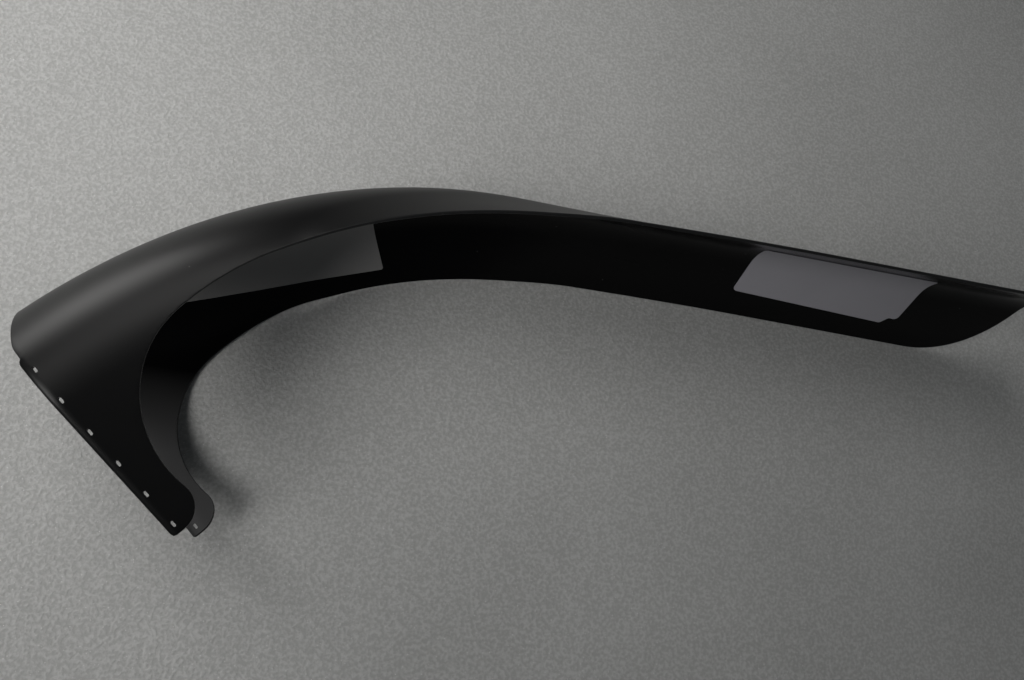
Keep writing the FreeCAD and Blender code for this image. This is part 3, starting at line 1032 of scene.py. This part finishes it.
        tree = bpy.data.node_groups.new("tie_slots", "GeometryNodeTree")
        sockets = {}
        for name, kind in (
            ("Prism", "NodeSocketObject"),
            ("Count", "NodeSocketInt"),
            ("First", "NodeSocketVector"),
            ("Pitch", "NodeSocketVector"),
            ("Rim", "NodeSocketMaterial"),
        ):
            sockets[name] = tree.interface.new_socket(name, in_out="INPUT", socket_type=kind).identifier
        tree.interface.new_socket("Geometry", in_out="OUTPUT", socket_type="NodeSocketGeometry")
        sketch = Sketch(tree)
        given = sketch.add("NodeGroupInput").outputs
        line = sketch.add("GeometryNodeMeshLine", {
            "Count": given["Count"], "Start Location": given["First"], "Offset": given["Pitch"]})
        shape = sketch.add("GeometryNodeObjectInfo", {"Object": given["Prism"]})
        row = sketch.add("GeometryNodeInstanceOnPoints", {
            "Points": line.outputs[0], "Instance": shape.outputs["Geometry"]})
        whole = sketch.add("GeometryNodeRealizeInstances", {"Geometry": row.outputs[0]})
        dressed = sketch.add("GeometryNodeSetMaterial", {
            "Geometry": whole.outputs[0], "Material": given["Rim"]})
        sketch.add("NodeGroupOutput", {0: dressed.outputs[0]})

        holder = bpy.data.objects.new("slot_row", bpy.data.meshes.new("slot_row"))
        bpy.context.scene.collection.objects.link(holder)
        modifier = holder.modifiers.new("slots", "NODES")
        modifier.node_group = tree
        first = crown - outward * self.slot_first + back * self.slot_back
        pitch = -outward * self.slot_pitch
        modifier[sockets["Prism"]] = prism
        modifier[sockets["Count"]] = self.slot_count
        modifier[sockets["First"]] = [first[0] * MM, first[1] * MM, 0.0]
        modifier[sockets["Pitch"]] = [pitch[0] * MM, pitch[1] * MM, 0.0]
        modifier[sockets["Rim"]] = rim
        mesh = plain_mesh(holder)
        drop(holder)
        drop(prism)
        mesh.transform(self.form.row_matrix)
        cutters = bpy.data.objects.new("slot_cutters", mesh)
        bpy.context.scene.collection.objects.link(cutters)
        return cutters

    def build(self, tree: BendTree, finishes: Sequence[bpy.types.Material]) -> bpy.types.Object:
        """Cut, bend and slot the sheet.

        Args:
            tree: The bend.
            finishes: Materials of the outside, the inside and the rim.

        Returns:
            The finished piece.
        """
        length = self.form.wheel_run + self.form.tail_reach + self.grid_step
        front = np.array(self.lip_lines) * self.form.lip_width
        places = np.concatenate((front, np.arange(0.0, length, self.grid_step)))
        reaches = np.arange(-self.reach_limit, self.reach_limit + self.grid_step / 2, self.grid_step)
        cut = cut_sheet(tree, places, reaches, 0.0, self.keep)
        blank = cut.thick("moulded_sheet", 0.0, self.form.wall, self.rim_bulge, self.rim_steps)
        sheet = tree.bend(blank, finishes)
        sheet.transform(self.form.row_matrix)

        holder = bpy.data.objects.new("moulded_sheet", sheet)
        bpy.context.scene.collection.objects.link(holder)
        cutters = self.slot_cutters(finishes[Face.RIM])
        cutting = holder.modifiers.new("slots", "BOOLEAN")
        cutting.operation = "DIFFERENCE"
        cutting.solver = "EXACT"
        cutting.material_mode = "TRANSFER"
        cutting.object = cutters
        slotted = plain_mesh(holder)
        drop(cutters)
        drop(holder)
        return place_piece(self.shade(slotted), "moulding", "mudguard")

    def shade(self, mesh: bpy.types.Mesh) -> bpy.types.Mesh:
        """Smooth shading that keeps creases and the true slope of large faces.

        Args:
            mesh: The slotted mesh. It is removed.

        Returns:
            The shaded mesh.
        """
        mesh.polygons.foreach_set("use_smooth", [True] * len(mesh.polygons))
        mesh.set_sharp_from_angle(angle=math.radians(self.crease_angle))
        holder = bpy.data.objects.new("moulding_shading", mesh)
        bpy.context.scene.collection.objects.link(holder)
        weighted = holder.modifiers.new("shading", "WEIGHTED_NORMAL")
        weighted.keep_sharp = True
        shaded = plain_mesh(holder)
        shaded.name = "moulding"
        drop(holder)
        return shaded


@dataclass
class InsideSheet:
    """A thin sheet that is stuck on the inside of the moulding, in millimetres and degrees."""

    form: Form
    gap: float = 0.15
    skin: float = 0.2
    grid_step: float = 1.5
    crease_angle: float = 40.0

    def keep(self, points: np.ndarray) -> np.ndarray:
        """Signed distance of points about the wheel centre to the sheet's outline."""
        raise NotImplementedError

    def lay(
        self, tree: BendTree, name: str, places: np.ndarray, reaches: np.ndarray, finish: bpy.types.Material
    ) -> bpy.types.Mesh:
        """Cut the sheet, lay it on the inside of the moulding and dress it.

        Args:
            tree: The bend.
            name: Name of the sheet's mesh.
            places: Grid lines along the crown.
            reaches: Grid lines across it.
            finish: Material of the sheet.

        Returns:
            The sheet's mesh in the row frame.
        """
        seat = self.form.wall + self.gap
        cut = cut_sheet(tree, places, reaches, seat, self.keep)
        blank = cut.thick(name, seat, seat + self.skin, bulge=0.0, steps=1)
        mesh = tree.bend(blank, (finish,) * len(Face))
        mesh.transform(self.form.row_matrix)
        mesh.polygons.foreach_set("use_smooth", [True] * len(mesh.polygons))
        mesh.set_sharp_from_angle(angle=math.radians(self.crease_angle))
        return mesh


@dataclass
class Label(InsideSheet):
    """Blank paper label on the gloss inside of the tail."""

    start: float = 182.0
    length: float = 146.0
    upper: float = 9.0
    lower: float = 41.3
    spread: float = 6.6
    tear: tuple[float, float] = (11.5, 6.2)
    tear_foot: float = 0.65
    tear_slope: float = 0.9
    end_slant: float = 2.7
    front_corner: float = 3.0
    low_corner: float = 4.0
    tear_corner: float = 2.0
    foot_corner: float = 1.5
    rear_corner: float = 3.0
    top_corner: float = 2.5
    room_below: float = 1.4
    room_above: float = 2.0

    def outline(self) -> np.ndarray:
        """Round-cornered sheet in plan, a little wider at its rear end, with a torn lower corner."""
        x_low, x_high = self.start, self.start + self.length
        z_tear = -self.lower - self.spread
        tear_run, tear_rise = self.tear
        return rounded((
            ((x_low, self.upper), self.front_corner),
            ((x_low, -self.lower), self.low_corner),
            ((x_high - tear_run, z_tear), self.tear_corner),
            ((x_high - self.tear_foot * tear_run, z_tear + tear_rise), self.foot_corner),
            ((x_high, z_tear + self.tear_slope * tear_rise), self.rear_corner),
            ((x_high - self.end_slant, self.upper), self.top_corner),
        ))

    def keep(self, points: np.ndarray) -> np.ndarray:
        """Signed distance of points about the wheel centre to the label's outline."""
        return outline_distance(points[:, ::2], self.outline())

    def build(self, tree: BendTree, paper: bpy.types.Material) -> bpy.types.Object:
        """Make the label.

        Args:
            tree: The bend.
            paper: Material of the label.

        Returns:
            The finished piece.
        """
        first = self.form.wheel_run + self.start - self.grid_step
        places = np.arange(first, first + self.length + 3 * self.grid_step, self.grid_step)
        # Reach is measured along the bend, so the grid runs further than the outline does in plan
        reaches = np.arange(-self.room_below * self.lower, self.room_above * self.upper, self.grid_step)
        mesh = self.lay(tree, "label_paper", places, reaches, paper)
        return place_piece(mesh, "blank_label", "label")


@dataclass
class GreyStrip(InsideSheet):
    """Plain grey strip on the inside of the lower shoulder; its film is painted lighter than its own dark
    grey, as painted light on the shaded shoulder.
    """

    rear: float = 104.4
    front: float = 130.0
    skew: float = 1.2
    low_rear: float = 338.5
    low_middle: float = 339.0
    low_front: float = 354.0
    inner: float = 12.0
    outer: float = 80.0

    def outline(self) -> np.ndarray:
        """Band below the crown with a skewed rear end, in side view."""
        top = self.rear + self.skew
        high = self.form.crown_radius
        start, end = polar(self.low_front, self.front), polar(self.low_rear, self.rear)
        middle = polar(self.low_middle, (self.front + self.rear) / 2)
        centre = circle_centre(start, middle, end)
        crown = arc_points(np.zeros(2), polar(high, top), polar(high, self.front))
        return np.concatenate((start[None], arc_points(centre, start, end), polar(high, top)[None], crown))

    def keep(self, points: np.ndarray) -> np.ndarray:
        """Signed distance of points about the wheel centre to the strip's outline."""
        return np.minimum(outline_distance(points[:, :2], self.outline()), -self.inner - points[:, 2])

    def build(self, tree: BendTree, film: bpy.types.Material) -> bpy.types.Object:
        """Make the strip.

        Args:
            tree: The bend.
            film: Material of the strip.

        Returns:
            The finished piece.
        """
        first, last = self.form.crown_place(self.front), self.form.crown_place(self.rear)
        places = np.arange(first - 2 * self.grid_step, last + 2 * self.grid_step, self.grid_step)
        reaches = np.arange(-self.outer, -self.inner + 4 * self.grid_step, self.grid_step)
        mesh = self.lay(tree, "grey_film", places, reaches, film)
        return place_piece(mesh, "grey_band", "grey_strip")


@dataclass(frozen=True)
class SoftLamp:
    """A round soft light."""

    name: str
    place: tuple[float, float, float]
    aim: tuple[float, float, float]
    size: float
    power: float
    spread: float = 180.0
    colour: Colour = (1.0, 0.985, 0.965)

    def build(self) -> None:
        """Hang the lamp and aim it."""
        lamp = bpy.data.lights.new(self.name, "AREA")
        lamp.shape = "DISK"
        lamp.size = self.size
        lamp.energy = self.power
        lamp.color = self.colour
        lamp.spread = math.radians(self.spread)
        holder = bpy.data.objects.new(self.name, lamp)
        holder.location = self.place
        holder.rotation_euler = (Vector(self.aim) - Vector(self.place)).to_track_quat("-Z", "Y").to_euler()
        bpy.context.scene.collection.objects.link(holder)


@dataclass
class Studio:
    """Table, lights and the photograph's camera."""

    table_size: float = 8.0
    table_drop: float = 0.0006
    world: Colour = (0.066, 0.07, 0.073)
    camera_place: tuple[float, float, float] = (-0.167432, -0.112999, 0.537)
    camera_right: tuple[float, float, float] = (0.96683579, 0.09650304, 0.23645)
    camera_up: tuple[float, float, float] = (-0.15491342, 0.95768927, 0.24257)
    lens: float = 27.0
    sensor: float = 36.0
    near_clip: float = 0.01

    def build(self, top: bpy.types.Material) -> None:
        """Set the table, the lights and the camera.

        Args:
            top: Material of the table.
        """
        self._table(top)
        for lamp in LAMPS:
            lamp.build()
        world = bpy.data.worlds.new("room")
        world.use_nodes = True
        world.node_tree.nodes["Background"].inputs["Color"].default_value = (*self.world, 1.0)
        bpy.context.scene.world = world
        self._camera()
        bpy.context.scene.view_settings.view_transform = "Standard"

    def _table(self, top: bpy.types.Material) -> None:
        """Lay the table just under the moulding."""
        half = self.table_size / 2
        turns = ((-half, -half), (half, -half), (half, half), (-half, half))
        corners = [(x, y, -self.table_drop) for x, y in turns]
        mesh = bpy.data.meshes.new("table")
        mesh.from_pydata(corners, [], [(0, 1, 2, 3)])
        mesh.materials.append(top)
        table = bpy.data.objects.new("table", mesh)
        bpy.context.scene.collection.objects.link(table)

    def _camera(self) -> None:
        """Set the camera where the photograph was taken."""
        right, up = Vector(self.camera_right).normalized(), Vector(self.camera_up).normalized()
        back = right.cross(up).normalized()
        up = back.cross(right)
        lens = bpy.data.cameras.new("camera")
        lens.lens = self.lens
        lens.sensor_width = self.sensor
        lens.sensor_fit = "HORIZONTAL"
        lens.clip_start = self.near_clip
        holder = bpy.data.objects.new("camera", lens)
        facing = Matrix((right, up, back)).transposed().to_4x4()
        holder.matrix_world = Matrix.Translation(self.camera_place) @ facing
        bpy.context.scene.collection.objects.link(holder)
        bpy.context.scene.camera = holder


LAMPS = (
    SoftLamp("window", (-0.767, 0.691, 1.474), (0.0, 0.0, 0.0), 1.0, 6.0),
    SoftLamp("low_window", (-1.46, 1.06, 0.5), (-0.3, 0.0, 0.06), 0.9, 1.1, 50.0),
    SoftLamp("lamp", (-1.31, -0.35, 1.18), (-0.5, 0.42, 0.0), 1.2, 2.9, 62.0),
)
SATIN = Plastic("satin_black", (0.002, 0.002, 0.0022), (0.0035, 0.0035, 0.0037), (0.33, 0.39),
                1600.0, 0.015, 0.03, 0.24)
# The gloss inside carries a grey painted sheen toward the wing ends
GLOSS = Plastic("gloss_black", (0.0015, 0.0015, 0.0017), (0.0025, 0.0025, 0.0027), (0.2, 0.28),
                900.0, 0.002, 0.06, 0.12, painted_sheen_colour=(0.06, 0.06, 0.061))
# The cut rim is painted lighter than the sheet: a painted highlight along the rounded edge
RIM = Plastic("cut_rim", (0.008, 0.008, 0.0084), (0.016, 0.016, 0.0165), (0.26, 0.36),
              1400.0, 0.015, 0.0, 0.5)
PAPER = Sticker("label_paper", (0.44, 0.43, 0.468), (0.40, 0.39, 0.425), (0.5, 0.6), 1300.0, 0.01, 0.12)
# The strip's film is painted lighter than its own dark grey: painted light on the shaded shoulder
FILM_WITH_PAINTED_LIGHT = Sticker("grey_film", (0.31, 0.302, 0.295), (0.27, 0.263, 0.257), (0.36, 0.44), 1700.0, 0.006, 0.05)
TABLE = TableTop("pebbled_table", (0.41, 0.412, 0.404), (0.58, 0.582, 0.574), 0.55, 430.0, 0.6)


def main() -> None:
    """Build the pieces in order and stage them."""
    logging.basicConfig(level=logging.INFO, format="%(message)s")
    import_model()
    effects = Effects()
    form = Form()
    tree = BendTree(form)
    finishes = [finish.build(effects) for finish in (SATIN, GLOSS, RIM)]
    Moulding(form).build(tree, finishes)
    Label(form).build(tree, PAPER.build(effects))
    GreyStrip(form).build(tree, FILM_WITH_PAINTED_LIGHT.build(effects))
    Studio().build(TABLE.build(effects))


if __name__ == "__main__":
    main()
